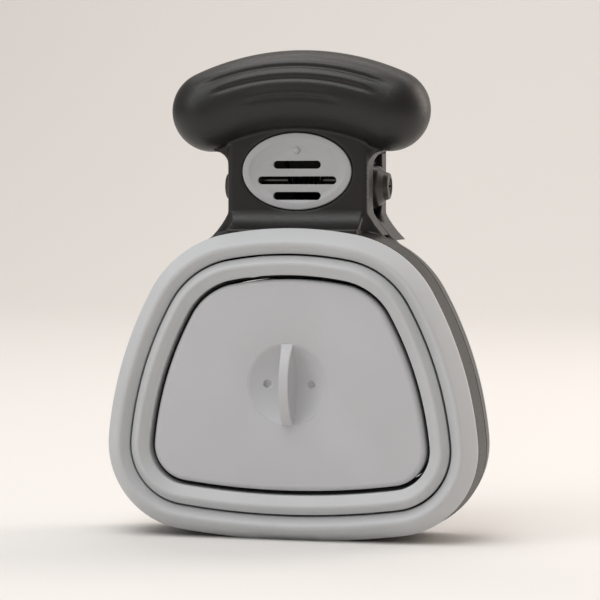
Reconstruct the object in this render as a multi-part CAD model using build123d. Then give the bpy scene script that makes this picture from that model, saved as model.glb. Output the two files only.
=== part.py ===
from build123d import *
import os
from math import cos, hypot, pi, radians, sin, sqrt, tan

# Collapsible hand-held clamshell scoop with a T-grip.
# Two mirrored half shells meet at the mouth plane and hinge on a cross pin in the neck.
# Each half holds a soft two-tier bowl that folds flat for carrying and is pulled out by a finned knob.
# The hollow T-grip stores a roll of bags behind a rear door, and they leave through an oval slot plate.
# Frame: +Z up, +X right, the front half towards -Y, origin at the centre of the base. Millimetres.

# ---- driving dimensions -------------------------------------------------------------------
# Bowl outline, seen from the front: five tangent arcs a side.
bowl_width = 131.4
bowl_height = 107.0
crown_radius = 124.0
side_lean = 31.0
side_centre_height = 22.4
base_radius = 278.0
foot_flat = 0.4
crown_corner_radius = 38.5
base_corner_radius = 29.8

# Black frame of each half.
frame_depth = 12.5
frame_draft = 5.0
frame_wall = 2.4
flange_thickness = 2.6
flange_inset = 7.8
mouth_gap = 0.15

# Soft rim ring on the frame's front.
lip_height = 1.0
bevel_width = 5.1
bevel_height = 6.2
rim_slope_width = 3.5
rim_slope_height = 3.5
anchor_reach = 2.0
anchor_thickness = 1.4
soft_radius = 1.5

# Clamp ring and its screws.
clamp_thickness = 2.0
clamp_clearance = 0.2
clamp_screw_inset = 4.4
clamp_screw_radius = 1.1
clamp_screw_head_radius = 1.8
clamp_screw_head_height = 1.3
clamp_screw_reach = 2.2
clamp_hole_clearance = 0.15

# Middle tier, with the folding webs either side of it.
tier_gap = 0.7
tier_bevel_width = 2.7
tier_bevel_height = 3.0
tier_slope_width = 3.9
tier_slope_height = 2.8
tier_wall = 1.5
tier_foot_depth = 3.0
tier_inner_foot_depth = 9.0
tier_set_back = 0.3
web_thickness = 0.5
web_root_depth = 12.0

# End panel.
panel_gap = 1.5
panel_thickness = 2.8
panel_wall = 1.6
panel_edge_radius = 2.0

# Pull knob set in the panel.
knob_radius = 14.0
knob_rim_wall = 1.6
knob_dish_depth = 3.6
knob_floor = 1.8
knob_clearance = 0.1
fin_thickness = 3.3
fin_rise = 6.7
fin_draft_wide = 1.6
knob_dimple_radius = 1.35
knob_dimple_spacing = 15.4
knob_dimple_depth = 1.0
knob_screw_radius = 0.9
knob_screw_head_radius = 1.8
knob_screw_head_height = 1.2
knob_screw_bite = 1.6
knob_screw_height = 8.6
keeper_thickness = 1.6
keeper_overlap = 2.4

# Neck and hinge.
neck_width = 50.0
neck_wall = 2.4
neck_set_back = 9.5
neck_split = 9.0
neck_split_gap = 0.3
lever_back = 31.8
hinge_y = 15.0
hinge_rise = 14.4
ear_radius = 8.0
ear_thickness = 2.8
ear_gap = 0.3
pin_radius = 2.5
pin_clearance = 0.05
window_half_width = 7.9
window_low_rise = 1.6
window_high_rise = 26.0
neck_edge_radius = 1.8
shoulder_set_back = 1.0
shoulder_spread = 0.45
shoulder_rise = 5.0
shoulder_root = 7.2
shoulder_hollow = 0.8
cove_height = 6.5
collar_rise = 21.5
collar_radius = 5.0

# Pivot caps and their screws.
cap_radius = 7.1
cap_edge = 3.2
cap_dome = 5.2
cap_boss_radius = 4.5
cap_height = 7.0
cap_gap = 0.2
cap_pocket_radius = 2.9
cap_pocket_depth = 1.8
cap_screw_radius = 1.0
cap_screw_head_radius = 2.5
cap_screw_head_height = 1.5
cap_screw_length = 8.0
cross_recess_width = 0.8
cross_recess_depth = 0.7

# Torsion spring round the pin.
spring_wire = 0.75
spring_radius = 4.6
spring_turns = 6
spring_pitch = 1.75
spring_leg = 14.0
spring_rest_gap = 0.1

# Rear finger lever.
lever_rise = 38.5
lever_bead_radius = 2.4
lever_gap = 0.5
lever_floor = 2.4
lever_corner_radius = 6.0

# T-grip.
grip_tube_radius = 14.2
grip_wall = 2.4
grip_bend_radius = 77.0
grip_reach = 32.6
grip_rise = 47.4
grip_y = 2.8
door_split = 5.0
door_gap = 0.1
door_pivot_drop = 1.0
door_swing = 60.0
door_knuckle_radius = 1.6
door_knuckle_length = 7.0
door_knuckle_gap = 0.25
door_knuckle_arm = 4.4
door_pin_radius = 0.8
door_notch_half_width = 15.0
door_notch_radius = 2.2
door_arm_depth = 3.4

# Oval slot plate.
oval_width = 38.6
oval_height = 26.6
oval_rise = 19.5
oval_thickness = 2.2
oval_proud = 0.5
oval_clearance = 0.15
oval_ledge = 2.2
oval_border = 2.6
oval_field_depth = 0.5
slot_height = 3.0
slot_lengths = (17.0, 28.0, 17.0)
slot_pitch = 5.4
slot_drop = 1.6
nub_radius = 1.2
nub_rise = 0.5
nub_offset = 9.4

# ---- worked-out sizes -----------------------------------------------------------------------
side_rise = bowl_height - side_centre_height
side_radius = (side_rise**2 + side_lean**2) / (2 * side_lean)
draft_flare = frame_depth * tan(radians(frame_draft))
rim_ridge_depth = frame_depth + lip_height + bevel_height
rim_inner_inset = bevel_width + rim_slope_width
rim_inner_depth = rim_ridge_depth - rim_slope_height
anchor_depth = frame_depth - flange_thickness - anchor_thickness
tier_outer_inset = rim_inner_inset + tier_gap
tier_ridge_depth = rim_ridge_depth - tier_set_back
tier_ridge_inset = tier_outer_inset + tier_bevel_width
tier_inner_inset = tier_ridge_inset + tier_slope_width
tier_inner_depth = tier_ridge_depth - tier_slope_height
panel_inset = tier_inner_inset + panel_gap
panel_face = tier_inner_depth
knob_centre_height = bowl_height / 2
neck_half = neck_width / 2
neck_inner = neck_half - neck_wall
neck_front = frame_depth - neck_set_back
neck_floor = bowl_height + draft_flare + neck_split_gap + neck_wall
shoulder_front = neck_front - shoulder_set_back
shoulder_low = bowl_height - shoulder_root
shoulder_top = bowl_height + shoulder_rise
hinge_height = bowl_height + hinge_rise
window_low = bowl_height + window_low_rise
window_high = bowl_height + window_high_rise
collar_base = bowl_height + collar_rise
lever_top = bowl_height + lever_rise
grip_centre_height = bowl_height + grip_rise
oval_centre_height = bowl_height + oval_rise
front_ear_inner = neck_inner - 2 * ear_thickness - 2 * ear_gap
rear_ear_inner = front_ear_inner + ear_thickness + ear_gap
cap_seat = rear_ear_inner + ear_thickness + cap_gap
grip_end_angle = grip_reach / grip_bend_radius
door_y = grip_y + door_split
door_edge_height = grip_centre_height + sqrt(grip_tube_radius**2 - door_split**2)
door_pivot_height = door_edge_height - door_pivot_drop
depth_shift = (lever_back + lever_bead_radius - panel_face - fin_rise) / 2


# ---- outline of the bowl ----------------------------------------------------------------------
def nested_centre(c1, r1, c2, r2, below):
    """Point r1 from c1 and r2 from c2, on the right, the lower one if below."""
    dx, dz = c2[0] - c1[0], c2[1] - c1[1]
    d = hypot(dx, dz)
    along = (d * d + r1 * r1 - r2 * r2) / (2 * d)
    off = sqrt(r1 * r1 - along * along)
    mx, mz = c1[0] + dx * along / d, c1[1] + dz * along / d
    options = [(mx + dz * off / d, mz - dx * off / d), (mx - dz * off / d, mz + dx * off / d)]
    right = [p for p in options if p[0] > 0]
    return min(right, key=lambda p: p[1] if below else -p[1])


def beyond(centre, radius, through):
    """Point on the circle round centre, on the ray through another point."""
    dx, dz = through[0] - centre[0], through[1] - centre[1]
    d = hypot(dx, dz)
    return (centre[0] + dx * radius / d, centre[1] + dz * radius / d)


def half_outline(inset=0.0, flare=0.0):
    """Right half of the outline as arcs from the crown to the base, in X and Z."""
    crown = (0.0, bowl_height - crown_radius)
    side = (bowl_width / 2 - side_radius + flare, side_centre_height)
    base = (0.0, base_radius - foot_flat)
    crown_r, side_r = crown_radius + flare, side_radius
    top = nested_centre(crown, crown_r - crown_corner_radius, side, side_r - crown_corner_radius, False)
    low = nested_centre(side, side_r - base_corner_radius, base, base_radius - base_corner_radius, True)
    centres = [crown, top, side, low, base]
    radii = [r - inset for r in (crown_r, crown_corner_radius, side_r, base_corner_radius, base_radius)]
    joints = [(0.0, crown[1] + radii[0])]
    joints.append(beyond(crown, radii[0], top))
    joints.append(beyond(side, radii[2], top))
    joints.append(beyond(side, radii[2], low))
    joints.append(beyond(base, radii[4], low))
    joints.append((0.0, base[1] - radii[4]))
    arcs = []
    for centre, radius, start, end in zip(centres, radii, joints, joints[1:]):
        middle = ((start[0] + end[0]) / 2, (start[1] + end[1]) / 2)
        middle = beyond(centre, radius, middle)
        points = [Vector(x, 0, z) for x, z in (start, middle, end)]
        arcs.append(ThreePointArc(*points))
    return arcs


def outline_face(depth, inset=0.0, flare=0.0):
    """The outline as a face at a depth in front of the mouth plane."""
    right = half_outline(inset, flare)
    left = [mirror(arc, about=Plane.YZ) for arc in right]
    return Pos(0, -depth, 0) * make_face(right + left).face()


def outline_block(start_depth, end_depth, inset=0.0):
    """Straight-sided solid of the outline between two depths."""
    return extrude(outline_face(start_depth, inset), end_depth - start_depth, dir=(0, -1, 0))


def section(points):
    """Face at the crown, in Y and Z, from (inset, depth, corner radius) points."""
    corners = [(-depth, bowl_height - inset) for inset, depth, _ in points]
    face = Plane.YZ * make_face(Polyline(*corners, close=True))
    for (y, z), (_, _, radius) in zip(corners, points):
        if radius:
            corner = min(face.vertices(), key=lambda v: (v.Y - y) ** 2 + (v.Z - z) ** 2)
            face = fillet(corner, radius)
    return face


def hoop(points):
    """Section carried all round the outline."""
    half = sweep(section(points), path=Wire(half_outline()))
    return half + mirror(half, about=Plane.YZ)


def above_floor(shape):
    """Shape with anything under the flat foot planed off."""
    return shape - Pos(0, 0, -25) * Box(200, 200, 50)


# ---- one half's bowl, front half as drawn -------------------------------------------------------
def rim_ring():
    inner = rim_inner_inset
    anchor_inset = flange_inset - anchor_reach
    flange_back = frame_depth - flange_thickness
    return above_floor(hoop([
        (0, frame_depth, 0),
        (0, frame_depth + lip_height, 0.9),
        (bevel_width, rim_ridge_depth, soft_radius),
        (inner, rim_inner_depth, 0.5),
        (inner, anchor_depth, 0),
        (anchor_inset, anchor_depth, 0),
        (anchor_inset, flange_back, 0),
        (flange_inset, flange_back, 0),
        (flange_inset, frame_depth, 0),
    ]))


def middle_tier():
    outer, ridge, inner = tier_outer_inset, tier_ridge_inset, tier_inner_inset
    return hoop([
        (outer, tier_foot_depth, 0),
        (outer, tier_ridge_depth - tier_bevel_height, 0.5),
        (ridge, tier_ridge_depth, soft_radius),
        (inner, tier_inner_depth, 0.5),
        (inner, tier_inner_foot_depth, 0),
        (inner - tier_wall, tier_inner_foot_depth, 0),
        (inner - tier_wall, tier_inner_depth - tier_wall, 0),
        (outer + tier_wall, tier_ridge_depth - tier_bevel_height - tier_wall, 0),
        (outer + tier_wall, tier_foot_depth, 0),
    ])


def folding_web(outer_inset, inner_inset):
    """Thin sleeve between two tiers, folded back towards the mouth."""
    root, foot = web_root_depth, tier_foot_depth
    slack = (inner_inset - outer_inset - web_thickness) / 2
    near = outer_inset + slack * 0.4
    far = inner_inset - web_thickness - slack * 0.4
    return hoop([
        (near, root, 0),
        (near + web_thickness, root, 0),
        (far + web_thickness, foot, 0),
        (far, foot, 0),
    ])


def end_panel():
    plate = outline_block(tier_foot_depth, panel_face, panel_inset)
    edges = plate.faces().sort_by(Axis.Y)[0].edges()
    plate = fillet(edges, panel_edge_radius)
    hollow = outline_block(tier_foot_depth - 1, panel_face - panel_thickness, panel_inset + panel_wall)
    seat = knob_cylinder(knob_radius + knob_clearance, 0, panel_face + 1)
    return plate - hollow - seat


def knob_cylinder(radius, start_depth, end_depth, x=0.0):
    """Round bar along Y about the knob's centre height."""
    bar = Cylinder(radius, end_depth - start_depth, rotation=(90, 0, 0))
    return Pos(x, -(start_depth + end_depth) / 2, knob_centre_height) * bar


def pull_knob():
    body = knob_cylinder(knob_radius, panel_face - knob_dish_depth - knob_floor, panel_face)
    mouth_radius = knob_radius - 0.3
    ball_radius = (mouth_radius**2 + knob_dish_depth**2) / (2 * knob_dish_depth)
    ball_y = -(panel_face - knob_dish_depth + ball_radius)
    body -= Pos(0, ball_y, knob_centre_height) * Sphere(ball_radius)
    edge = fin_rise + knob_dish_depth
    fin_radius = ((2 * knob_radius) ** 2 / 4 + fin_rise**2) / (2 * fin_rise)
    fin_y = -(panel_face + fin_rise - fin_radius)
    disc = Pos(0, fin_y, knob_centre_height) * Cylinder(fin_radius, 40, rotation=(0, 90, 0))
    foot = fin_thickness / 2 + fin_draft_wide
    profile = Polyline(
        (-fin_thickness / 2, -(panel_face + fin_rise)),
        (fin_thickness / 2, -(panel_face + fin_rise)),
        (foot, -(panel_face - knob_dish_depth)),
        (-foot, -(panel_face - knob_dish_depth)),
        close=True,
    )
    web = extrude(Plane.XY * make_face(profile), 2 * knob_radius)
    web = Pos(0, 0, knob_centre_height - knob_radius) * web
    fin = web & disc
    reach = knob_cylinder(knob_radius, panel_face - knob_dish_depth - knob_floor, panel_face + edge)
    body += fin & reach
    for side in (-1, 1):
        x = side * knob_dimple_spacing / 2
        sag = ball_radius - sqrt(ball_radius**2 - x * x)
        floor = panel_face - knob_dish_depth + sag
        body -= knob_cylinder(knob_dimple_radius, floor - knob_dimple_depth, panel_face + 1, x)
    back = panel_face - knob_dish_depth - knob_floor
    for height in knob_screw_heights():
        body -= Pos(0, 0, height) * knob_cylinder(knob_screw_radius, back - 1, back + knob_screw_bite)
    return body


def knob_keeper():
    """Cup behind the panel that holds the knob's root."""
    panel_back = panel_face - panel_thickness
    knob_back = panel_face - knob_dish_depth - knob_floor
    cup = knob_cylinder(knob_radius + keeper_overlap, knob_back - keeper_thickness, panel_back)
    cup -= knob_cylinder(knob_radius + knob_clearance, knob_back, panel_back + 1)
    for height in knob_screw_heights():
        hole = knob_cylinder(knob_screw_radius + clamp_hole_clearance, 0, panel_back)
        cup -= Pos(0, 0, height) * hole
    return cup


def knob_screw_heights():
    """Heights of the two knob screws from the knob's centre, in line with the fin."""
    return (-knob_screw_height, knob_screw_height)


def knob_screws():
    knob_back = panel_face - knob_dish_depth - knob_floor
    seat = knob_back - keeper_thickness
    screws = []
    for height in knob_screw_heights():
        screw = knob_cylinder(knob_screw_radius, seat, knob_back + knob_screw_bite)
        screw += knob_cylinder(knob_screw_head_radius, seat - knob_screw_head_height, seat)
        screw = Pos(0, 0, height) * screw
        head = Pos(0, -(seat - knob_screw_head_height), knob_centre_height + height)
        screws.append(screw - cross_recess(head, 2.6))
    return screws


def cross_recess(place, length):
    """Cross for a screwdriver, sunk along Y at a place."""
    bar = Box(length, 2 * cross_recess_depth, cross_recess_width)
    return place * (bar + Rot(0, 90, 0) * bar)


# ---- fasteners of one half ------------------------------------------------------------------------
def clamp_screw_places():
    """Screw points on the flange, two or more an arc of the outline."""
    shares = {0: (0.0,), 1: (0.25, 0.95), 2: (0.7,), 3: (0.35, 0.85), 4: (0.75,)}
    arcs = half_outline(clamp_screw_inset)
    right = [arcs[i] @ share for i, row in shares.items() for share in row if i or share]
    return right + [Vector(-p.X, p.Y, p.Z) for p in right]


def clamp_ring():
    front = anchor_depth
    ring = hoop([
        (frame_wall + clamp_clearance, front - clamp_thickness, 0),
        (frame_wall + clamp_clearance, front, 0),
        (rim_inner_inset, front, 0),
        (rim_inner_inset, front - clamp_thickness, 0),
    ])
    ledge = hoop([
        (frame_wall + clamp_clearance, front, 0),
        (frame_wall + clamp_clearance, frame_depth - flange_thickness, 0),
        (flange_inset - anchor_reach, frame_depth - flange_thickness, 0),
        (flange_inset - anchor_reach, front, 0),
    ])
    ring += ledge
    for place in clamp_screw_places():
        hole = Cylinder(clamp_screw_radius + clamp_hole_clearance, 20, rotation=(90, 0, 0))
        ring -= Pos(place.X, -front, place.Z) * hole
    return ring


def clamp_screws():
    head_face = anchor_depth - clamp_thickness
    screws = []
    for place in clamp_screw_places():
        tip = frame_depth - flange_thickness + clamp_screw_reach
        length = tip - head_face
        shank = Cylinder(clamp_screw_radius, length, rotation=(90, 0, 0))
        head = Cylinder(clamp_screw_head_radius, clamp_screw_head_height, rotation=(90, 0, 0))
        screw = Pos(place.X, -(head_face + tip) / 2, place.Z) * shank
        screw += Pos(place.X, -head_face + clamp_screw_head_height / 2, place.Z) * head
        head_top = Pos(place.X, -head_face + clamp_screw_head_height, place.Z)
        screws.append(screw - cross_recess(head_top, 2.4))
    return screws


# ---- half frames, neck and lever --------------------------------------------------------------------
def frame_shell():
    outer = loft([outline_face(frame_depth), outline_face(mouth_gap, 0, draft_flare)], ruled=True)
    outer -= outline_block(-1, frame_depth - flange_thickness, frame_wall)
    outer -= outline_block(-1, frame_depth + 1, flange_inset)
    for place in clamp_screw_places():
        tip = frame_depth - flange_thickness + clamp_screw_reach
        pilot = Cylinder(clamp_screw_radius, tip, rotation=(90, 0, 0))
        outer -= Pos(place.X, -tip / 2, place.Z) * pilot
    return above_floor(outer)


def shoulder_block(front, back):
    """Solid from the frame's crown up into the neck, between two Y planes."""
    tip = half_outline(clamp_clearance)[1] @ shoulder_spread
    root = Vector(neck_half, 0, shoulder_top)
    dip = (tip + root) / 2 - Vector(shoulder_hollow, 0, shoulder_hollow)
    inner = [tip, (0, 0, tip.Z - frame_wall), (0, 0, shoulder_top), root]
    face = make_face([ThreePointArc(root, dip, tip), Polyline(*inner)])
    right = Pos(0, front, 0) * extrude(face, back - front, dir=(0, 1, 0))
    return right + mirror(right, about=Plane.YZ)


def cove():
    """Hollow-curved apron from the neck's front wall down on to the frame's front edge."""
    top = (-neck_front, bowl_height + cove_height)
    foot = (-frame_depth, bowl_height - clamp_clearance)
    spread = (foot[0] - top[0], foot[1] - top[1])
    dip = (top[0] + spread[0] * 0.28, top[1] + spread[1] * 0.72)
    corners = [foot, (foot[0], foot[1] - frame_wall), (-neck_front + neck_wall, foot[1] - frame_wall),
               (-neck_front + neck_wall, top[1]), top]
    points = [Vector(0, y, z) for y, z in (top, dip, foot)]
    face = make_face([ThreePointArc(*points), Polyline(*[Vector(0, y, z) for y, z in corners])])
    width = neck_width - 2 * neck_edge_radius
    apron = Pos(-width / 2, 0, 0) * extrude(face, width, dir=(1, 0, 0))
    return apron & outline_block(-40, 40, -cove_height - 1)


def collar():
    """Hollow-curved flare where the neck meets the grip, on the right."""
    x, z, r = neck_half, collar_base, collar_radius
    dip = (x + r * (1 - cos(pi / 4)), 0, z + r * sin(pi / 4))
    tip = (x + r, 0, z + r)
    inner = [tip, (x + r, 0, z + 2 * r), (x - neck_wall, 0, z + 2 * r), (x - neck_wall, 0, z), (x, 0, z)]
    face = make_face([ThreePointArc((x, 0, z), dip, tip), Polyline(*inner)])
    start, end = -neck_front + neck_edge_radius, door_y
    return Pos(0, start, 0) * extrude(face, end - start, dir=(0, 1, 0))


def block(x, y, z):
    """Box from its low and high limits on each axis."""
    size = Box(x[1] - x[0], y[1] - y[0], z[1] - z[0])
    return Pos((x[0] + x[1]) / 2, (y[0] + y[1]) / 2, (z[0] + z[1]) / 2) * size


def hinge_bar(radius, low_x, high_x):
    """Round bar along X on the hinge axis."""
    bar = Cylinder(radius, high_x - low_x, rotation=(0, 90, 0))
    return Pos((low_x + high_x) / 2, hinge_y, hinge_height) * bar


def ear(inner_x, wall_y, bore):
    """Hinge ear on the right, from a wall to the hinge axis."""
    outer_x = inner_x + ear_thickness
    low, high = sorted((wall_y, hinge_y))
    arm = block((inner_x, outer_x), (low, high), (hinge_height - ear_radius, hinge_height + ear_radius))
    return arm + hinge_bar(ear_radius, inner_x, outer_x) - hinge_bar(bore, inner_x - 1, outer_x + 1)


def grip_tube(radius):
    """Bent sausage of the T-grip at a tube radius."""
    spine_centre = grip_centre_height - grip_bend_radius
    arc = ThreePointArc(
        (-grip_bend_radius * sin(grip_end_angle), grip_y, spine_centre + grip_bend_radius * cos(grip_end_angle)),
        (0, grip_y, grip_centre_height),
        (grip_bend_radius * sin(grip_end_angle), grip_y, spine_centre + grip_bend_radius * cos(grip_end_angle)),
    )
    start = Plane(origin=arc @ 0, z_dir=arc % 0)
    tube = sweep(start * Circle(radius), path=arc)
    for end in (0, 1):
        tube += Pos(*(arc @ end)) * Sphere(radius)
    return tube


def window_cut():
    """Opening in each side wall of the neck round the pivot cap."""
    height = window_high - window_low
    spread = height - 2 * window_half_width
    middle = (window_high + window_low) / 2
    cut = Pos(0, hinge_y, middle) * Box(neck_width + 20, 2 * window_half_width, spread)
    for side in (-1, 1):
        end = Cylinder(window_half_width, neck_width + 20, rotation=(0, 90, 0))
        cut += Pos(0, hinge_y, middle + side * spread / 2) * end
    return cut - block((-neck_inner, neck_inner), (-60, 60), (0, 200))


def door_axis_bar(radius, low_x, high_x):
    """Round bar along X on the door's hinge axis."""
    bar = Cylinder(radius, high_x - low_x, rotation=(0, 90, 0))
    return Pos((low_x + high_x) / 2, door_y, door_pivot_height) * bar


def door_knuckle(low_x, high_x, side):
    """Knuckle with its arm to the grip's wall, on the front (-1) or the door (1) side."""
    arm_low, arm_high = sorted((door_y, door_y + side * door_knuckle_arm))
    depth = door_arm_depth if side > 0 else door_knuckle_radius
    arm = block((low_x, high_x), (arm_low, arm_high),
                (door_pivot_height - depth, door_pivot_height + door_knuckle_radius))
    return (arm & grip_tube(grip_tube_radius)) + door_axis_bar(door_knuckle_radius, low_x, high_x)


def front_housing():
    split = neck_split
    upper = block((-neck_half, neck_half), (-neck_front, split), (shoulder_low, grip_centre_height))
    upper = fillet(upper.faces().sort_by(Axis.Y)[0].edges().filter_by(Axis.Z), neck_edge_radius)
    upper += shoulder_block(-shoulder_front, split)
    upper += cove()
    upper += collar()
    upper += mirror(collar(), about=Plane.YZ)
    upper -= outline_block(0.1, 40, frame_wall)
    upper -= outline_block(-40, 0.1, -draft_flare - neck_split_gap)
    upper -= block((-60, 60), (door_y, 60), (collar_base, 200))
    cavity = block((-neck_inner, neck_inner), (-neck_front + neck_wall, 40), (neck_floor, grip_centre_height))
    grip = grip_tube(grip_tube_radius) - block((-60, 60), (door_y, 60), (0, 200))
    inside = grip_tube(grip_tube_radius - grip_wall)
    body = frame_shell() + (upper + grip - cavity - inside)
    body -= window_cut()
    right_ear = ear(front_ear_inner, -neck_front + neck_wall, pin_radius)
    body += right_ear
    body += mirror(right_ear, about=Plane.YZ)
    body -= door_axis_bar(door_notch_radius, -door_notch_half_width, door_notch_half_width)
    inner, outer = door_knuckle_length / 2 + door_knuckle_gap, 1.5 * door_knuckle_length
    for low, high in ((inner, outer), (-outer, -inner)):
        body += door_knuckle(low, high, -1)
    body -= door_axis_bar(door_pin_radius, -40, 40)
    body -= oval_prism(oval_clearance, -neck_front - 9, -neck_front + oval_thickness - oval_proud)
    body -= oval_prism(-oval_ledge, -neck_front - 1, -neck_front + neck_wall + 1)
    return body


def oval_prism(grow, start_y, end_y):
    """Oval bar along Y, grown or shrunk by a margin."""
    face = Plane.XZ * Ellipse(oval_width / 2 + grow, oval_height / 2 + grow)
    return Pos(0, start_y, oval_centre_height) * extrude(face, end_y - start_y, dir=(0, 1, 0))


def slot_plate():
    front = -neck_front - oval_proud
    plate = oval_prism(0, front, front + oval_thickness)
    plate -= oval_prism(-oval_border, front - 1, front + oval_field_depth)
    for row, length in zip((1, 0, -1), slot_lengths):
        height = oval_centre_height - slot_drop + row * slot_pitch - slot_pitch / 6
        face = Plane.XZ * SlotOverall(length, slot_height)
        plate -= Pos(0, front - 2, height) * extrude(face, 10, dir=(0, 1, 0))
    nub_y = front + oval_field_depth
    nub = Cylinder(nub_radius, 2 * nub_rise, rotation=(90, 0, 0))
    return plate + Pos(0, nub_y, oval_centre_height + nub_offset) * nub


def bag_door():
    shell = grip_tube(grip_tube_radius) - grip_tube(grip_tube_radius - grip_wall)
    shell -= block((-60, 60), (-60, door_y + door_gap), (0, 200))
    shell -= door_axis_bar(door_notch_radius, -door_notch_half_width, door_notch_half_width)
    shell -= swing_bevel()
    half = door_knuckle_length / 2
    shell += door_knuckle(-half, half, 1)
    return shell - door_axis_bar(door_pin_radius + pin_clearance, -40, 40)


def swing_bevel():
    """Wedge off the door's top edge, so that it can swing past the front shell."""
    rise = 10.0
    run = rise * tan(radians(door_swing))
    y, z = door_y, door_pivot_height
    wedge = Plane.YZ * make_face(Polyline((y, z), (y, z + rise), (y + run, z + rise), close=True))
    return Pos(-60, 0, 0) * extrude(wedge, 120, dir=(1, 0, 0))


def door_pin():
    reach = 1.5 * door_knuckle_length
    return door_axis_bar(door_pin_radius, -reach, reach)


def rear_housing():
    split = neck_split + neck_split_gap
    low = bowl_height + lever_gap
    upper = block((-neck_half, neck_half), (split, lever_back), (shoulder_low, lever_top))
    upper = fillet(upper.faces().sort_by(Axis.Y)[-1].edges().filter_by(Axis.Z), neck_edge_radius)
    top_corners = upper.edges().filter_by(Axis.Y).sort_by(Axis.Z)[-2:]
    upper = fillet(top_corners, lever_corner_radius)
    upper += shoulder_block(split, lever_back - neck_edge_radius)
    upper -= outline_block(-frame_depth, 0, frame_wall)
    upper -= outline_block(-60, -frame_depth, -lever_gap)
    upper -= block((-neck_inner, neck_inner), (-1, lever_back - neck_wall), (low + lever_floor, lever_top + 1))
    upper -= block((-60, 60), (-1, hinge_y + window_half_width), (window_high - window_half_width, 200))
    upper -= block((-60, 60), (-1, lever_back - neck_wall), (window_high, 200))
    body = mirror(frame_shell(), about=Plane.XZ) + upper
    body -= window_cut()
    bead = Cylinder(lever_bead_radius, neck_width - 2 * lever_corner_radius, rotation=(0, 90, 0))
    body += Pos(0, lever_back, lever_top - lever_bead_radius) * bead
    back_wall = lever_back - neck_wall
    right = ear(rear_ear_inner, back_wall, pin_radius + pin_clearance)
    return body + right + mirror(right, about=Plane.YZ)


# ---- hinge hardware ---------------------------------------------------------------------------------
def hinge_pin():
    pin = hinge_bar(pin_radius, -cap_seat, cap_seat)
    for side in (-1, 1):
        depth = cap_screw_length
        low, high = sorted((side * cap_seat, side * (cap_seat - depth)))
        pin -= hinge_bar(cap_screw_radius, low, high)
    return pin


def pivot_cap():
    """Domed cap on the right end of the pin."""
    x0 = cap_seat
    outline = Polyline(
        (0, 0), (cap_radius, 0), (cap_radius, cap_edge), (cap_boss_radius + 0.6, cap_dome),
        (cap_boss_radius, cap_height - 0.6), (cap_boss_radius - 0.9, cap_height), (0, cap_height), close=True)
    solid = revolve(Plane.XZ * make_face(outline), Axis.Z)
    solid = Pos(x0, hinge_y, hinge_height) * Rot(0, 90, 0) * solid
    solid -= hinge_bar(cap_pocket_radius, x0 + cap_height - cap_pocket_depth, x0 + cap_height + 1)
    return solid - hinge_bar(cap_screw_radius + clamp_hole_clearance, x0 - 1, x0 + cap_height)


def pivot_screw():
    seat = cap_seat + cap_height - cap_pocket_depth
    reach = cap_seat + cap_height - cap_pocket_depth
    screw = hinge_bar(cap_screw_radius, cap_seat - cap_screw_length + 0.4, reach)
    screw += hinge_bar(cap_screw_head_radius, seat, seat + cap_screw_head_height)
    slot = Box(2 * cross_recess_depth, cross_recess_width, 3.4)
    for turn in (0, 90):
        tip = seat + cap_screw_head_height
        screw -= Pos(tip, hinge_y, hinge_height) * Rot(turn, 0, 0) * slot
    return screw


def torsion_spring():
    height = spring_turns * spring_pitch
    coil_path = Helix(spring_pitch, height, spring_radius)
    profile = Plane(origin=coil_path @ 0, z_dir=coil_path % 0) * Circle(spring_wire)
    coil = sweep(profile, path=coil_path)
    coil = Pos(-height / 2, hinge_y, hinge_height) * Rot(0, 90, 0) * coil
    legs = []
    rest = spring_wire + spring_rest_gap
    front_tip = -neck_front + neck_wall + rest
    rear_tip = lever_back - neck_wall - rest
    for end, side, tip_y in ((-height / 2, -1, front_tip), (height / 2, 1, rear_tip)):
        start = Vector(end, hinge_y + side * spring_radius, hinge_height)
        stop = Vector(end, tip_y, hinge_height + spring_leg)
        line = Line(start, stop)
        rod = sweep(Plane(origin=start, z_dir=line % 0) * Circle(spring_wire), path=line)
        legs.append(rod + Pos(*start) * Sphere(spring_wire))
    return coil + legs[0] + legs[1]


# ---- write the nodes ----------------------------------------------------------------------------------
def rear_of(shape):
    return mirror(shape, about=Plane.XZ)


def left_of(shape):
    return mirror(shape, about=Plane.YZ)


def main():
    os.makedirs("parts", exist_ok=True)
    bowl = {
        "rim_ring": rim_ring(),
        "clamp_ring": clamp_ring(),
        "outer_web": folding_web(rim_inner_inset, tier_outer_inset),
        "middle_tier": middle_tier(),
        "inner_web": folding_web(tier_inner_inset, panel_inset),
        "end_panel": end_panel(),
        "pull_knob": pull_knob(),
        "knob_keeper": knob_keeper(),
        "clamp_screws": Compound(clamp_screws()),
        "knob_screws": Compound(knob_screws()),
    }
    nodes = {
        "front_housing": front_housing(),
        "rear_housing": rear_housing(),
        "slot_plate": slot_plate(),
        "bag_door": bag_door(),
        "door_pin": door_pin(),
        "hinge_pin": hinge_pin(),
        "pivot_cap_right": pivot_cap(),
        "pivot_cap_left": left_of(pivot_cap()),
        "pivot_screw_right": pivot_screw(),
        "pivot_screw_left": left_of(pivot_screw()),
        "torsion_spring": torsion_spring(),
    }
    for name, shape in bowl.items():
        nodes["front_" + name] = shape
        nodes["rear_" + name] = rear_of(shape)
    for name, shape in nodes.items():
        export_step(Pos(0, -depth_shift, 0) * shape, f"parts/{name}.step")


main()
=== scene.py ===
import math
import bpy
from mathutils import Matrix, Vector


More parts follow.
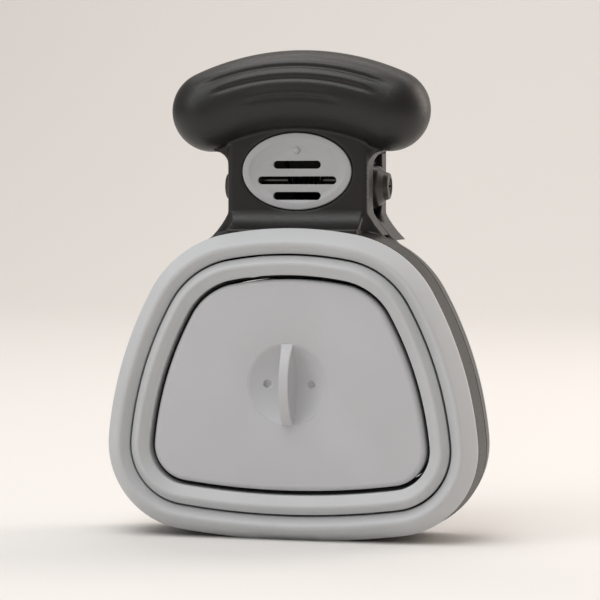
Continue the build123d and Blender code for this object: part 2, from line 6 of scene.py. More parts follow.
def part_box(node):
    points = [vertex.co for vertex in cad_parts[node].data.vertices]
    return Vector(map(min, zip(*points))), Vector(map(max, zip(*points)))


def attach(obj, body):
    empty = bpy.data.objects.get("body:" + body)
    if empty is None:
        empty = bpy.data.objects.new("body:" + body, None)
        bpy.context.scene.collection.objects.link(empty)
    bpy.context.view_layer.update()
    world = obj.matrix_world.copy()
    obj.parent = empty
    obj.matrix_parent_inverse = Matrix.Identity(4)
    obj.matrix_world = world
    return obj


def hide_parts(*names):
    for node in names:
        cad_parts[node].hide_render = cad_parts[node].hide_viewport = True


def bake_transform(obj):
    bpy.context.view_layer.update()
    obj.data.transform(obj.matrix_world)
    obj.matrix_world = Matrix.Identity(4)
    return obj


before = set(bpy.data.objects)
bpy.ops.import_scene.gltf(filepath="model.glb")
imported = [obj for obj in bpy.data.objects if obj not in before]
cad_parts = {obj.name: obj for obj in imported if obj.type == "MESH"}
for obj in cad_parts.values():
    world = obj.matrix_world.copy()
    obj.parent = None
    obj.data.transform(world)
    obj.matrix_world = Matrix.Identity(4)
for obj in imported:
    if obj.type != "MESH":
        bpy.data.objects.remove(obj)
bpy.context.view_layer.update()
mm = 0.001


# ---- Floor and backdrop: one sheet of warm off-white paper, swept up behind in a wide curve.
# It is matt and uncoated, so it takes only a faint, soft shadow under the scoop.
def linear(code):
    """An sRGB hex colour as linear RGBA."""
    parts = [int(code[i:i + 2], 16) / 255 for i in (1, 3, 5)]
    return [p / 12.92 if p <= 0.04045 else ((p + 0.055) / 1.055) ** 2.4 for p in parts] + [1.0]


def add_node(material, kind, links=(), **settings):
    """Adds a node, sets its sockets and properties, and links other nodes' outputs to it."""
    node = material.node_tree.nodes.new(kind)
    for name, value in settings.items():
        if name in node.inputs:
            node.inputs[name].default_value = value
        else:
            setattr(node, name, value)
    for source, output, socket in links:
        material.node_tree.links.new(source.outputs[output], node.inputs[socket])
    return node


def only(piece):
    """Leaves one object selected and active."""
    bpy.ops.object.select_all(action="DESELECT")
    piece.select_set(True)
    bpy.context.view_layer.objects.active = piece


def pick(piece, kind, test):
    """Selects in edit mode the vertices, edges or faces whose middle point and normal pass the test."""
    only(piece)
    bpy.ops.object.mode_set(mode="EDIT")
    bpy.ops.mesh.select_mode(type=kind)
    bpy.ops.mesh.select_all(action="DESELECT")
    bpy.ops.object.mode_set(mode="OBJECT")
    mesh = piece.data
    if kind == "VERT":
        for vertex in mesh.vertices:
            vertex.select = test(vertex.co, vertex.normal)
    if kind == "EDGE":
        for edge in mesh.edges:
            a, b = (mesh.vertices[i] for i in edge.vertices)
            edge.select = test((a.co + b.co) / 2, (b.co - a.co).normalized())
    if kind == "FACE":
        for face in mesh.polygons:
            face.select = test(face.center, face.normal)
    bpy.ops.object.mode_set(mode="EDIT")


def apply_modifier(piece, kind, **settings):
    """Adds a modifier with its settings and applies it."""
    only(piece)
    modifier = piece.modifiers.new(kind.lower(), kind)
    for name, value in settings.items():
        setattr(modifier, name, value)
    bpy.ops.object.modifier_apply(modifier=modifier.name)


paper = bpy.data.materials.new("uncoated_backdrop_paper")
paper.use_nodes = True
paper_shader = paper.node_tree.nodes["Principled BSDF"]
paper_shader.inputs["Base Color"].default_value = linear("#E6E4E1")
paper_shader.inputs["Roughness"].default_value = 0.85
paper_shader.inputs["Specular IOR Level"].default_value = 0.2

bpy.ops.object.select_all(action="DESELECT")
bpy.ops.mesh.primitive_plane_add(size=6.0, location=(0, 0, 0))
backdrop = bpy.context.object
backdrop.name = "paper_sweep"
pick(backdrop, "EDGE", lambda middle, along: middle.y > 2.9)
bpy.ops.mesh.extrude_region_move(TRANSFORM_OT_translate={"value": (0, 0, 4.0)})
bpy.ops.object.mode_set(mode="OBJECT")
apply_modifier(backdrop, "BEVEL", width=1.6, segments=24)
bpy.ops.object.shade_smooth()
backdrop.data.materials.append(paper)


# ---- Front and rear housings: the two black shells, each moulded in one piece in glass-filled nylon.
# The front one carries the neck and most of the T-grip, the rear one the finger lever and its bead.
# The mould's inside corners leave every edge rounded by about a millimetre.
def moulded_plastic(name, colour, deeper, roughness, spacing, depth):
    """Moulded plastic with a spark-eroded grain of a spacing and depth in metres, between two tones."""
    material = bpy.data.materials.new(name)
    material.use_nodes = True
    shader = material.node_tree.nodes["Principled BSDF"]
    shader.inputs["IOR"].default_value = 1.5
    place = add_node(material, "ShaderNodeTexCoord")
    cloud = add_node(material, "ShaderNodeTexNoise", [(place, "Object", "Vector")],
                     Scale=1 / (30 * mm), Detail=4.0)
    grain = add_node(material, "ShaderNodeTexNoise", [(place, "Object", "Vector")],
                     Scale=1 / spacing, Detail=2.0, Roughness=0.6)
    tone = add_node(material, "ShaderNodeValToRGB", [(cloud, "Fac", "Fac")])
    tone.color_ramp.elements[0].position = 0.3
    tone.color_ramp.elements[0].color = linear(deeper)
    tone.color_ramp.elements[1].position = 0.7
    tone.color_ramp.elements[1].color = linear(colour)
    sheen = add_node(material, "ShaderNodeMapRange", [(grain, "Fac", "Value")])
    for socket, value in (("From Min", 0.3), ("From Max", 0.7),
                          ("To Min", roughness - 0.06), ("To Max", roughness + 0.06)):
        sheen.inputs[socket].default_value = value
    bump = add_node(material, "ShaderNodeBump", [(grain, "Fac", "Height")], Distance=depth, Strength=1.0)
    link = material.node_tree.links.new
    link(tone.outputs["Color"], shader.inputs["Base Color"])
    link(sheen.outputs["Result"], shader.inputs["Roughness"])
    link(bump.outputs["Normal"], shader.inputs["Normal"])
    return material


def cad_copy(node, name):
    """A new object with a welded copy of a CAD node's mesh."""
    piece = bpy.data.objects.new(name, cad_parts[node].data.copy())
    piece.data.materials.clear()
    bpy.context.scene.collection.objects.link(piece)
    only(piece)
    bpy.ops.object.mode_set(mode="EDIT")
    bpy.ops.mesh.select_mode(type="VERT")
    bpy.ops.mesh.select_all(action="SELECT")
    bpy.ops.mesh.remove_doubles(threshold=0.001 * mm)
    bpy.ops.object.mode_set(mode="OBJECT")
    return piece


def soften(piece, voxel, rounds):
    """Melts a closed mesh's edges round, as a mould does."""
    apply_modifier(piece, "REMESH", mode="VOXEL", voxel_size=voxel)
    apply_modifier(piece, "SMOOTH", factor=0.5, iterations=rounds)


def thin_out(piece, most):
    """Takes triangles from the flat parts until a mesh has at most a number of them."""
    count = 2 * len(piece.data.polygons)
    if count > most:
        apply_modifier(piece, "DECIMATE", ratio=most / count)
    only(piece)
    bpy.ops.object.shade_smooth()


# Glass-filled nylon; its eroded grain is drawn about twice as coarse as real, so it shows at a distance.
black_nylon = moulded_plastic("spark_eroded_black_nylon", "#181716", "#151413", 0.42, 0.7 * mm, 0.05 * mm)

shell_voxel = 0.5 * mm
shell_triangles = 180000
front_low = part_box("front_rim_ring")[0]
rear_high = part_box("rear_rim_ring")[1]
mouth_y = (front_low[1] + rear_high[1]) / 2
grip_radius = 14.2 * mm
grip_bend = 77.0 * mm
grip_y = mouth_y + 2.8 * mm
grip_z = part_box("front_housing")[1][2] - grip_radius

# Three soft steps across the front of the grip for the fingers: angle above level, and half length.
finger_steps = ((38, 33 * mm), (19, 30 * mm), (-8, 20 * mm))
step_height = 0.55 * mm
step_width = 1.1 * mm
step_fade = 9.0 * mm


def finger_step_depth(point):
    """How far the grip's surface is raised or sunk at a point by the finger steps."""
    turn = math.atan2(point.x, point.z - (grip_z - grip_bend))
    spine = Vector((grip_bend * math.sin(turn), grip_y, grip_z - grip_bend + grip_bend * math.cos(turn)))
    out = point - spine
    if out.length < grip_radius - 1.0 * mm or out.y > 0:
        return 0.0
    up = out.z * math.cos(turn) + out.x * math.sin(turn)
    level = math.atan2(up, -out.y)
    along = abs(grip_bend * turn)
    total = 0.0
    for angle, half_length in finger_steps:
        above = (level - math.radians(angle)) * grip_radius / step_width
        fade = min(1.0, max(0.0, (half_length - along) / step_fade))
        fade = fade * fade * (3 - 2 * fade)
        crest = math.exp(-((above - 1.0) / 1.3) ** 2)
        valley = math.exp(-((above + 0.6) / 0.8) ** 2)
        total += step_height * fade * (0.55 * crest - valley)
    return total


def add_finger_steps(piece):
    """Moves the grip's vertices in or out along their normals to make the finger steps."""
    moves = [finger_step_depth(v.co) * v.normal for v in piece.data.vertices]
    for vertex, move in zip(piece.data.vertices, moves):
        vertex.co += move


for half in ("front", "rear"):
    node = half + "_housing"
    shell = cad_copy(node, half + "_shell")
    soften(shell, shell_voxel, 5)
    if half == "front":
        add_finger_steps(shell)
    thin_out(shell, shell_triangles)
    shell.data.materials.append(black_nylon)
    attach(shell, half + "_half")
    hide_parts(node)


# ---- Rim rings: the thick soft lips round both bowls, moulded in light grey thermoplastic rubber.
# Each is anchored behind the frame's flange and held there by the clamp ring.
bowl_width = 131.4 * mm
bowl_height = 107.0 * mm
crown_radius = 124.0 * mm
crown_corner = 38.5 * mm
side_lean = 31.0 * mm
side_centre = 22.4 * mm
base_corner = 29.8 * mm
base_radius = 278.0 * mm
foot_flat = 0.4 * mm

frame_depth = 12.5 * mm
flange_depth = 9.9 * mm
flange_inset = 7.8 * mm
lip_height = 1.0 * mm
rim_ridge = (5.1 * mm, 19.7 * mm)
rim_inner = (8.6 * mm, 16.2 * mm)
anchor_inset = 5.8 * mm
anchor_depth = 8.5 * mm


def meeting(c1, r1, c2, r2, lower):
    """The point r1 from c1 and r2 from c2 on the right, the lower or the higher one."""
    gap = c2 - c1
    along = (gap.length_squared + r1 * r1 - r2 * r2) / (2 * gap.length)
    off = math.sqrt(r1 * r1 - along * along)
    middle = c1 + gap.normalized() * along
    side = gap.normalized().orthogonal() * off
    places = [p for p in (middle + side, middle - side) if p.x > 0]
    return min(places, key=lambda p: p.y if lower else -p.y)


def outline_curve(name, inset):
    """The bowl's outline at an inset, drawn flat as a closed curve of ten arcs."""
    side_rise = bowl_height - side_centre
    side_radius = (side_rise ** 2 + side_lean ** 2) / (2 * side_lean)
    crown = Vector((0, bowl_height - crown_radius))
    side = Vector((bowl_width / 2 - side_radius, side_centre))
    base = Vector((0, base_radius - foot_flat))
    top = meeting(crown, crown_radius - crown_corner, side, side_radius - crown_corner, False)
    low = meeting(side, side_radius - base_corner, base, base_radius - base_corner, True)
    turns = [math.pi / 2]
    for first, second in ((top, crown), (top, side), (low, side), (low, base)):
        turns.append(math.atan2(first.y - second.y, first.x - second.x))
    turns.append(-math.pi / 2)
    centres = (crown, top, side, low, base)
    radii = (crown_radius, crown_corner, side_radius, base_corner, base_radius)
    right = []
    for centre, radius, start, end in zip(centres, radii, turns, turns[1:]):
        radius = radius - inset
        pull = 4 / 3 * math.tan((start - end) / 4) * radius
        for turn, sign in ((start, 1), (end, -1)):
            point = centre + Vector((math.cos(turn), math.sin(turn))) * radius
            handle = point + Vector((math.sin(turn), -math.cos(turn))) * pull * sign
            right.append((point, handle))
    knots = [(right[i][0], right[i - 1][1], right[i][1]) for i in range(2, 10, 2)]
    flip = Vector((-1, 1))
    crown_knot = (right[0][0], right[0][1] * flip, right[0][1])
    base_knot = (right[9][0], right[9][1], right[9][1] * flip)
    left = [(point * flip, after * flip, before * flip) for point, before, after in reversed(knots)]
    data = bpy.data.curves.new(name, "CURVE")
    data.dimensions = "2D"
    data.resolution_u = 18
    spline = data.splines.new("BEZIER")
    spline.use_cyclic_u = True
    path = [crown_knot] + knots + [base_knot] + left
    spline.bezier_points.add(len(path) - 1)
    for knot, (point, before, after) in zip(spline.bezier_points, path):
        knot.co = point.to_3d()
        knot.handle_left = before.to_3d()
        knot.handle_right = after.to_3d()
    piece = bpy.data.objects.new(name, data)
    bpy.context.scene.collection.objects.link(piece)
    return piece


def rounded(corners, steps=6):
    """A closed outline with each corner (x, y, radius) turned into a short arc."""
    points = []
    for i, (x, y, radius) in enumerate(corners):
        here = Vector((x, y))
        before = (Vector(corners[i - 1][:2]) - here).normalized()
        after = (Vector(corners[(i + 1) % len(corners)][:2]) - here).normalized()
        half = before.angle(after) / 2
        if not radius:
            points.append(here)
            continue
        middle = here + (before + after).normalized() * radius / math.sin(half)
        start = (here + before * radius / math.tan(half) - middle).normalized()
        end = (here + after * radius / math.tan(half) - middle).normalized()
        points += [middle + radius * start.slerp(end, step / steps) for step in range(steps + 1)]
    return points


def hoop(name, points):
    """Carries a closed section of (inset, depth) points round the outline, as a flat mesh piece."""
    data = bpy.data.curves.new(name + "_section", "CURVE")
    data.dimensions = "2D"
    spline = data.splines.new("POLY")
    spline.use_cyclic_u = True
    spline.points.add(len(points) - 1)
    for point, (inset, depth) in zip(spline.points, points):
        point.co = (inset, depth, 0, 1)
    profile = bpy.data.objects.new(name + "_section", data)
    bpy.context.scene.collection.objects.link(profile)
    piece = outline_curve(name, 0.0)
    piece.data.bevel_mode = "OBJECT"
    piece.data.bevel_object = profile
    only(piece)
    bpy.ops.object.convert(target="MESH")
    bpy.data.objects.remove(profile)
    bpy.ops.object.mode_set(mode="EDIT")
    bpy.ops.mesh.select_all(action="SELECT")
    bpy.ops.mesh.remove_doubles(threshold=0.001 * mm)
    bpy.ops.mesh.normals_make_consistent(inside=False)
    bpy.ops.object.mode_set(mode="OBJECT")
    bpy.ops.object.shade_smooth_by_angle(angle=math.radians(32))
    return bpy.context.object


def stand_up(piece, half):
    """Turns a piece drawn flat (right, up, depth) into its place on the front or the rear half."""
    turn = Matrix.Rotation(math.pi / 2, 4, "X")
    if half == "rear":
        turn = Matrix.Rotation(math.pi, 4, "Z") @ turn
    piece.data.transform(Matrix.Translation((0, mouth_y, 0)) @ turn)


def both_halves(flat, name, body, node):
    """Stands a flat piece on the front half and a copy of it on the rear half."""
    pieces = {}
    for half in ("front", "rear"):
        piece = flat
        if half == "rear":
            piece = bpy.data.objects.new(name, flat_mesh)
            bpy.context.scene.collection.objects.link(piece)
        else:
            flat_mesh = flat.data.copy()
        piece.name = half + "_" + name
        stand_up(piece, half)
        if body:
            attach(piece, half + "_" + body)
        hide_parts(half + "_" + node)
        pieces[half] = piece
    return pieces


# Thermoplastic rubber from a lightly blasted mould, so it is matt and very fine grained.
grey_rubber = moulded_plastic("moulded_light_grey_rubber", "#C5C7C9", "#BFC1C3", 0.52, 0.55 * mm, 0.012 * mm)

rim_section = rounded([
    (0.0, frame_depth, 0),
    (0.0, frame_depth + lip_height, 0.9 * mm),
    (*rim_ridge, 1.5 * mm),
    (*rim_inner, 0.6 * mm),
    (rim_inner[0], anchor_depth, 0),
    (anchor_inset, anchor_depth, 0),
    (anchor_inset, flange_depth, 0),
    (flange_inset, flange_depth, 0),
    (flange_inset, frame_depth, 0),
])
rim = hoop("rim_lip", rim_section)
pick(rim, "FACE", lambda middle, normal: True)
bpy.ops.mesh.bisect(plane_co=(0, 0, 0), plane_no=(0, 1, 0), clear_inner=True, use_fill=True,
                    threshold=0.001 * mm)
bpy.ops.object.mode_set(mode="OBJECT")
rim.data.materials.append(grey_rubber)
both_halves(rim, "rim_lip", "half", "rim_ring")


# ---- Middle tiers and folding webs: the bowl's loose ring and the thin sleeves either side of it.
# The tiers are the rim's grey rubber and the webs a thinner rubber, coloured near-black as painted shade for
# the gap between the rings. Each web is one slanted strip between its rings, like a shallow cone.
tier_outer = 9.3 * mm
tier_ridge = (12.0 * mm, 19.4 * mm)
tier_inner = (15.9 * mm, 16.6 * mm)
tier_wall = 1.5 * mm
tier_shoulder = tier_ridge[1] - 3.0 * mm
web_foot = 3.0 * mm
web_root = 12.0 * mm
inner_foot = 9.0 * mm
panel_inset = 17.4 * mm

tier = hoop("middle_tier_ring", rounded([
    (tier_outer, web_foot, 0),
    (tier_outer, tier_shoulder, 0.5 * mm),
    (*tier_ridge, 1.2 * mm),
    (*tier_inner, 0.6 * mm),
    (tier_inner[0], inner_foot, 0),
    (tier_inner[0] - tier_wall, inner_foot, 0),
    (tier_inner[0] - tier_wall, tier_inner[1] - tier_wall, 0),
    (tier_outer + tier_wall, tier_shoulder - tier_wall, 0),
    (tier_outer + tier_wall, web_foot, 0),
]))
tier.data.materials.append(grey_rubber)
both_halves(tier, "middle_tier_ring", "tier", "middle_tier")

# The webs are the thinnest moulding of all; their near-black colour is painted shade, so the gap between the
# rings reads dark.
gap_shade_web_rubber = moulded_plastic("thin_rubber_painted_gap_shade", "#141312", "#10100F", 0.65, 0.55 * mm, 0.015 * mm)
web_thickness = 0.5 * mm
web_bands = 14


def web_section(outer_inset, inner_inset):
    """Thin strip from the outer ring's root back to the inner ring's foot, in short bands."""
    slack = (inner_inset - outer_inset - web_thickness) / 2
    near = outer_inset + slack * 0.4
    far = inner_inset - web_thickness - slack * 0.4
    out = []
    for band in range(web_bands + 1):
        share = band / web_bands
        out.append((near + (far - near) * share, web_root + (web_foot - web_root) * share))
    return [(inset + web_thickness, depth) for inset, depth in out] + out[::-1]


webs = (
    ("outer_web", rim_inner[0], tier_outer, "tier", web_root, web_foot),
    ("inner_web", tier_inner[0], panel_inset, "panel", 2 * web_root - web_foot, web_foot),
)
for name, outer_inset, inner_inset, body, start, end in webs:
    section = web_section(outer_inset, inner_inset)
    flat_web = hoop("folding_" + name, section)
    flat_web.data.materials.append(gap_shade_web_rubber)
    for half, web in both_halves(flat_web, "folding_" + name, None, name).items():
        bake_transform(web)


# ---- End panels: the stiff plates that close the bowls, moulded in grey polypropylene.
# A skirt round the edge stiffens each, and a round seat in the middle takes the pull knob.
# Polypropylene from a fine spark-eroded mould, a shade stiffer and smoother than the rubber.
grey_plate = moulded_plastic("fine_grain_grey_polypropylene", "#C5C6C9", "#C0C1C4", 0.5, 0.6 * mm, 0.01 * mm)

panel_face = tier_inner[1]
panel_thickness = 2.8 * mm
panel_skirt = 1.6 * mm
panel_edge = 2.0 * mm
knob_radius = 14.0 * mm
knob_height = bowl_height / 2
seat_edge = 0.25 * mm

panel = outline_curve("bowl_plate", panel_inset)
only(panel)
bpy.ops.object.convert(target="MESH")
panel = bpy.context.object
pick(panel, "EDGE", lambda middle, along: True)
bpy.ops.mesh.remove_doubles(threshold=0.001 * mm)
bpy.ops.mesh.edge_face_add()
bpy.ops.transform.translate(value=(0, 0, web_foot))
bpy.ops.mesh.extrude_region_move(TRANSFORM_OT_translate={"value": (0, 0, panel_face - web_foot)})
bpy.ops.mesh.select_all(action="SELECT")
bpy.ops.mesh.normals_make_consistent(inside=False)
bpy.ops.object.mode_set(mode="OBJECT")
pick(panel, "FACE", lambda middle, normal: normal.z < -0.9)
bpy.ops.mesh.inset(thickness=panel_skirt)
bpy.ops.mesh.extrude_region_move(
    TRANSFORM_OT_translate={"value": (0, 0, panel_face - panel_thickness - web_foot)})
bpy.ops.object.mode_set(mode="OBJECT")
pick(panel, "EDGE", lambda middle, along: middle.z > panel_face - 0.01 * mm)
bpy.ops.mesh.bevel(offset=panel_edge, segments=8, profile=0.5)
bpy.ops.object.mode_set(mode="OBJECT")
bpy.ops.object.select_all(action="DESELECT")
bpy.ops.mesh.primitive_cylinder_add(vertices=96, radius=knob_radius, depth=0.1,
                                    location=(0, knob_height, 0))
seat = bpy.context.object
apply_modifier(panel, "BOOLEAN", operation="DIFFERENCE", object=seat, solver="EXACT")
bpy.data.objects.remove(seat)
knob_centre = Vector((0, knob_height, panel_face))
pick(panel, "EDGE", lambda middle, along: (middle - knob_centre).length < knob_radius + seat_edge)
bpy.ops.mesh.bevel(offset=seat_edge, segments=3, profile=0.5)
bpy.ops.object.mode_set(mode="OBJECT")
bpy.ops.object.shade_smooth_by_angle(angle=math.radians(32))
panel.data.materials.append(grey_plate)
both_halves(panel, "bowl_plate", "panel", "end_panel")


# ---- Pull knobs: a dished round button with a finger fin across it, one moulding of the plate's plastic.
# The dish lies flush in the plate, and two blind dimples mark the mould's ejector pins.
dish_depth = 3.6 * mm
knob_floor = 1.8 * mm
fin_rise = 6.7 * mm
fin_thickness = 3.4 * mm
fin_root = 6.0 * mm
dimple_radius = 1.35 * mm
dimple_offset = 7.7 * mm


def lathe(name, points, steps=64):
    """Spins an outline of (radius, height) points about Z into a closed piece."""
    mesh = bpy.data.meshes.new(name)
    mesh.from_pydata([(r, 0, z) for r, z in points], [(i, i + 1) for i in range(len(points) - 1)], [])
    piece = bpy.data.objects.new(name, mesh)
    bpy.context.scene.collection.objects.link(piece)
    pick(piece, "EDGE", lambda middle, along: True)
    bpy.ops.mesh.spin(steps=steps, angle=2 * math.pi, center=(0, 0, 0), axis=(0, 0, 1))
    bpy.ops.mesh.select_all(action="SELECT")
    bpy.ops.mesh.remove_doubles(threshold=0.005 * mm)
    bpy.ops.mesh.normals_make_consistent(inside=False)
    bpy.ops.object.mode_set(mode="OBJECT")
    return piece


def merge(piece, other, operation):
    """Joins another piece to a piece, or cuts it away, and removes it."""
    apply_modifier(piece, "BOOLEAN", operation=operation, object=other, solver="EXACT")
    bpy.data.objects.remove(other)


ball_radius = (knob_radius ** 2 + dish_depth ** 2) / (2 * dish_depth)
knob_back = panel_face - dish_depth - knob_floor
ball_z = panel_face - dish_depth + ball_radius
hidden_edge = knob_radius + 0.3 * mm
dish = [(0.0, knob_back), (hidden_edge, knob_back), (hidden_edge, panel_face - 0.3 * mm)]
for step in range(17):
    lean = math.asin(knob_radius / ball_radius) * (1 - step / 16)
    dish.append((ball_radius * math.sin(lean), ball_z - ball_radius * math.cos(lean)))
knob = lathe("pull_knob_button", dish)

fin_radius = (knob_radius ** 2 + fin_rise ** 2) / (2 * fin_rise)
bpy.ops.object.select_all(action="DESELECT")
bpy.ops.mesh.primitive_cylinder_add(vertices=192, radius=fin_radius, depth=fin_thickness,
                                    rotation=(0, math.pi / 2, 0),
                                    location=(0, 0, panel_face + fin_rise - fin_radius))
fin = bpy.context.object
bpy.ops.object.transform_apply(location=True, rotation=True, scale=True)
pick(fin, "FACE", lambda middle, normal: True)
bpy.ops.mesh.bisect(plane_co=(0, 0, panel_face - dish_depth - 0.5 * mm), plane_no=(0, 0, 1),
                    clear_inner=True, use_fill=True)
bpy.ops.object.mode_set(mode="OBJECT")
for vertex in fin.data.vertices:
    drop = panel_face + fin_rise - vertex.co.z
    share = min(1.0, drop / (fin_rise + dish_depth))
    vertex.co.x *= 1 + (fin_root / fin_thickness - 1) * share ** 3
for side in (-1, 1):
    bpy.ops.object.select_all(action="DESELECT")
    bpy.ops.mesh.primitive_cylinder_add(vertices=32, radius=dimple_radius, depth=2.4 * mm,
                                        location=(side * dimple_offset, 0, panel_face - dish_depth + 1.0 * mm))
    merge(knob, bpy.context.object, "DIFFERENCE")
merge(knob, fin, "UNION")
soften(knob, 0.26 * mm, 5)
only(knob)
bpy.ops.object.shade_smooth()
knob.data.transform(Matrix.Translation((0, knob_height, 0)))
knob.data.materials.append(grey_plate)
both_halves(knob, "pull_knob_button", "panel", "pull_knob")


# ---- Slot plate: the oval grey badge in the neck that the bags are drawn out through.
# One moulding with a rolled rim, a dished field, three rounded slots and a small nub above them.
badge_plastic = moulded_plastic("satin_grey_polypropylene", "#B6B7B9", "#B0B1B3", 0.48, 0.5 * mm, 0.01 * mm)

oval_low, oval_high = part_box("slot_plate")
oval_half = ((oval_high[0] - oval_low[0]) / 2, (oval_high[2] - oval_low[2]) / 2)
oval_centre = (oval_high[2] + oval_low[2]) / 2
oval_thickness = oval_high[1] - oval_low[1]
rim_roll = 2.3 * mm
field_drop = 0.7 * mm
slot_rise = 2.8 * mm
slots = ((17.0 * mm, 5.4 * mm), (28.0 * mm, 0.0), (17.0 * mm, -5.4 * mm))
slot_drop = 3.1 * mm
nub_radius = 1.2 * mm
nub_offset = 7.2 * mm

bpy.ops.object.select_all(action="DESELECT")
bpy.ops.mesh.primitive_circle_add(vertices=128, radius=1.0, fill_type="NGON")
badge = bpy.context.object
badge.name = "oval_slot_plate"
pick(badge, "FACE", lambda middle, normal: True)
bpy.ops.transform.resize(value=(oval_half[0], oval_half[1], 1.0))
bpy.ops.mesh.extrude_region_move(TRANSFORM_OT_translate={"value": (0, 0, oval_thickness)})
bpy.ops.mesh.select_all(action="SELECT")
bpy.ops.mesh.normals_make_consistent(inside=False)
bpy.ops.object.mode_set(mode="OBJECT")
pick(badge, "FACE", lambda middle, normal: normal.z > 0.9)
bpy.ops.mesh.inset(thickness=rim_roll)
bpy.ops.mesh.inset(thickness=1.2 * mm)
bpy.ops.transform.translate(value=(0, 0, -field_drop))
bpy.ops.object.mode_set(mode="OBJECT")


def runs_round_oval(middle, along):
    """Whether an edge follows the oval, on its top face."""
    outward = Vector((middle.x / oval_half[0] ** 2, middle.y / oval_half[1] ** 2, 0)).normalized()
    return middle.z > oval_thickness - 0.01 * mm and abs(along.dot(outward)) < 0.5


pick(badge, "EDGE", runs_round_oval)
bpy.ops.mesh.bevel(offset=0.45 * mm, segments=5, profile=0.5)
bpy.ops.object.mode_set(mode="OBJECT")
for length, height in slots:
    bpy.ops.object.select_all(action="DESELECT")
    bpy.ops.mesh.primitive_cylinder_add(vertices=32, radius=slot_rise / 2, depth=0.02,
                                        location=(0, height - slot_drop, 0))
    cutter = bpy.context.object
    bpy.ops.object.transform_apply(location=True)
    for vertex in cutter.data.vertices:
        vertex.co.x += math.copysign((length - slot_rise) / 2, vertex.co.x)
    merge(badge, cutter, "DIFFERENCE")
bpy.ops.object.select_all(action="DESELECT")
bpy.ops.mesh.primitive_uv_sphere_add(segments=32, ring_count=16, radius=nub_radius,
                                     location=(0, nub_offset, oval_thickness - field_drop))
nub = bpy.context.object
pick(nub, "FACE", lambda middle, normal: True)
bpy.ops.transform.resize(value=(1, 1, 0.7))
bpy.ops.object.mode_set(mode="OBJECT")
merge(badge, nub, "UNION")
apply_modifier(badge, "BEVEL", width=0.22 * mm, segments=3, limit_method="ANGLE",
               angle_limit=math.radians(50), harden_normals=False)
only(badge)
bpy.ops.object.shade_smooth_by_angle(angle=math.radians(35))
badge.data.transform(Matrix.Translation((0, oval_high[1], oval_centre)) @ Matrix.Rotation(math.pi / 2, 4, "X"))
badge.data.materials.append(badge_plastic)
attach(badge, "front_half")
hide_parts("slot_plate")


# ---- Pivot caps: domed black caps over both ends of the hinge pin, each held by one screw.
# A raised boss round the screw keeps a fingernail off it.
cap_plastic = moulded_plastic("smooth_black_acetal", "#3A3631", "#36322E", 0.4, 0.6 * mm, 0.01 * mm)

for side, name in ((1, "right"), (-1, "left")):
    low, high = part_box("pivot_cap_" + name)
    radius = (high[2] - low[2]) / 2
    height = high[0] - low[0]
    outline = rounded([
        (radius, 0.0, 0.3 * mm),
        (radius, 3.2 * mm, 1.2 * mm),
        (5.1 * mm, 5.2 * mm, 0.8 * mm),
        (4.5 * mm, height - 0.2 * mm, 0.5 * mm),
        (3.7 * mm, height, 0.4 * mm),
        (2.9 * mm, height, 0.2 * mm),
        (2.9 * mm, height - 1.8 * mm, 0.2 * mm),
        (1.15 * mm, height - 1.8 * mm, 0),
        (1.15 * mm, 0.0, 0),
    ], steps=4)
    cap = lathe("hinge_cap_" + name, outline + outline[:1])
    only(cap)
    bpy.ops.object.shade_smooth_by_angle(angle=math.radians(35))
    seat_x = low[0] if side > 0 else high[0]
    turn = Matrix.Rotation(side * math.pi / 2, 4, "Y")
    cap.data.transform(Matrix.Translation((seat_x, (low[1] + high[1]) / 2, (low[2] + high[2]) / 2)) @ turn)
    cap.data.materials.append(cap_plastic)
    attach(cap, "front_half")
    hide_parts("pivot_cap_" + name)


# ---- Bag door: the rear of the hollow grip, hinged at its top edge, in the housings' black nylon.
door = cad_copy("bag_door", "grip_bag_door")
soften(door, 0.45 * mm, 4)
thin_out(door, 150000)
door.data.materials.append(black_nylon)
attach(door, "bag_door")
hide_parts("bag_door")


# ---- Inner parts: clamp rings and keepers in black polypropylene, small screws in zinc-plated steel.
# The hinge's pin, screws and spring are blackened with an oxide finish.
# Mild steel with a thin zinc plating, slightly uneven from the bath.
steel = bpy.data.materials.new("zinc_plated_steel")
steel.use_nodes = True
steel_shader = steel.node_tree.nodes["Principled BSDF"]
steel_shader.inputs["Metallic"].default_value = 1.0
steel_shader.inputs["Base Color"].default_value = linear("#B9BAB6")
steel_place = add_node(steel, "ShaderNodeTexCoord")
steel_grain = add_node(steel, "ShaderNodeTexNoise", [(steel_place, "Object", "Vector")],
                       Scale=1 / (0.4 * mm), Detail=3.0)
steel_rough = add_node(steel, "ShaderNodeMapRange", [(steel_grain, "Fac", "Value")])
steel_rough.inputs["To Min"].default_value = 0.22
steel_rough.inputs["To Max"].default_value = 0.42
steel_bump = add_node(steel, "ShaderNodeBump", [(steel_grain, "Fac", "Height")], Distance=0.004 * mm)
steel.node_tree.links.new(steel_rough.outputs["Result"], steel_shader.inputs["Roughness"])
steel.node_tree.links.new(steel_bump.outputs["Normal"], steel_shader.inputs["Normal"])

# The same steel blackened in a hot oxide bath, which leaves it dark and just as rough.
black_oxide = steel.copy()
black_oxide.name = "black_oxide_steel"
black_oxide.node_tree.nodes["Principled BSDF"].inputs["Base Color"].default_value = linear("#2A2928")

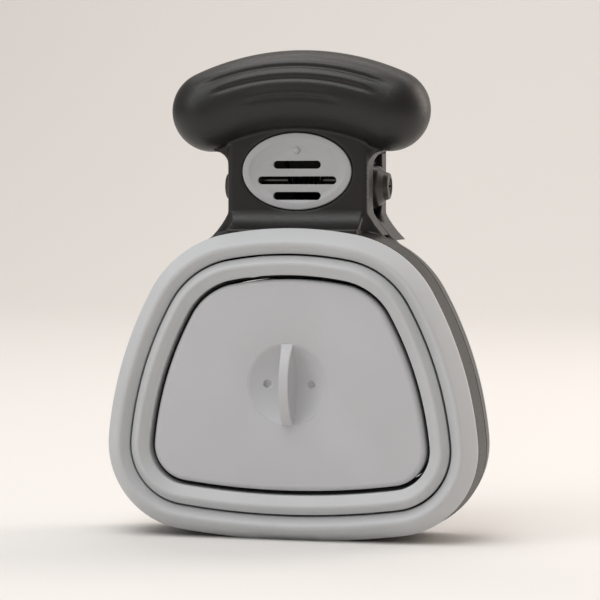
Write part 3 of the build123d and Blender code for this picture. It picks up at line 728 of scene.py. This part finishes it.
# Plain black polypropylene, straight from a polished mould, for the parts nobody sees.
black_polypropylene = moulded_plastic("plain_black_polypropylene", "#2B2A28", "#272624", 0.42,
                                      0.8 * mm, 0.01 * mm)
for name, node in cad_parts.items():
    finish = black_polypropylene
    if "screw" in name or name == "door_pin":
        finish = steel
    if name.startswith("pivot_screw") or name in ("hinge_pin", "torsion_spring"):
        finish = black_oxide
    node.data.materials.clear()
    node.data.materials.append(finish)


# ---- Light: a large soft box overhead, weaker ones at the left and the right rear, and a dim warm room.
world = bpy.data.worlds.new("studio")
bpy.context.scene.world = world
world.use_nodes = True
world.node_tree.nodes["Background"].inputs["Color"].default_value = linear("#FFF9F4")
world.node_tree.nodes["Background"].inputs["Strength"].default_value = 0.30
bpy.context.scene.view_settings.view_transform = "Standard"


def soft_box(name, place, target, size, power, tint):
    """A rectangular area light at a place, turned to a target."""
    light = bpy.data.lights.new(name, "AREA")
    light.shape = "RECTANGLE"
    light.size, light.size_y = size
    light.energy = power
    light.color = linear(tint)[:3]
    lamp = bpy.data.objects.new(name, light)
    bpy.context.scene.collection.objects.link(lamp)
    lamp.location = place
    lamp.rotation_euler = (Vector(target) - Vector(place)).to_track_quat("-Z", "Y").to_euler()


soft_box("top_box", (-0.25, -0.45, 1.4), (0, 0, 0.08), (1.2, 1.2), 13, "#FFFFFF")
soft_box("left_box", (-1.1, -0.9, 0.8), (0, 0, 0.08), (0.8, 0.9), 4, "#FCFDFF")
soft_box("edge_box", (0.9, 0.6, 0.5), (0, 0, 0.08), (0.6, 0.9), 6, "#FFF2E8")
soft_box("backdrop_box", (0, 1.2, 2.2), (0, 2.2, 0.2), (3.0, 1.2), 33, "#FFF9F5")


# ---- Camera: a long lens a little above the table, turned 13 degrees to the right of straight ahead.
camera = bpy.data.cameras.new("camera")
camera_rig = bpy.data.objects.new("camera", camera)
bpy.context.scene.collection.objects.link(camera_rig)
azimuth = math.radians(13.3)
distance = 0.802
camera.lens = 138.4
camera.sensor_width = 36
camera_rig.location = (distance * math.sin(azimuth), mouth_y - distance * math.cos(azimuth), 0.120)
camera_rig.rotation_euler = (math.radians(90 - 2.726), 0, azimuth - math.radians(0.032))
bpy.context.scene.camera = camera_rig
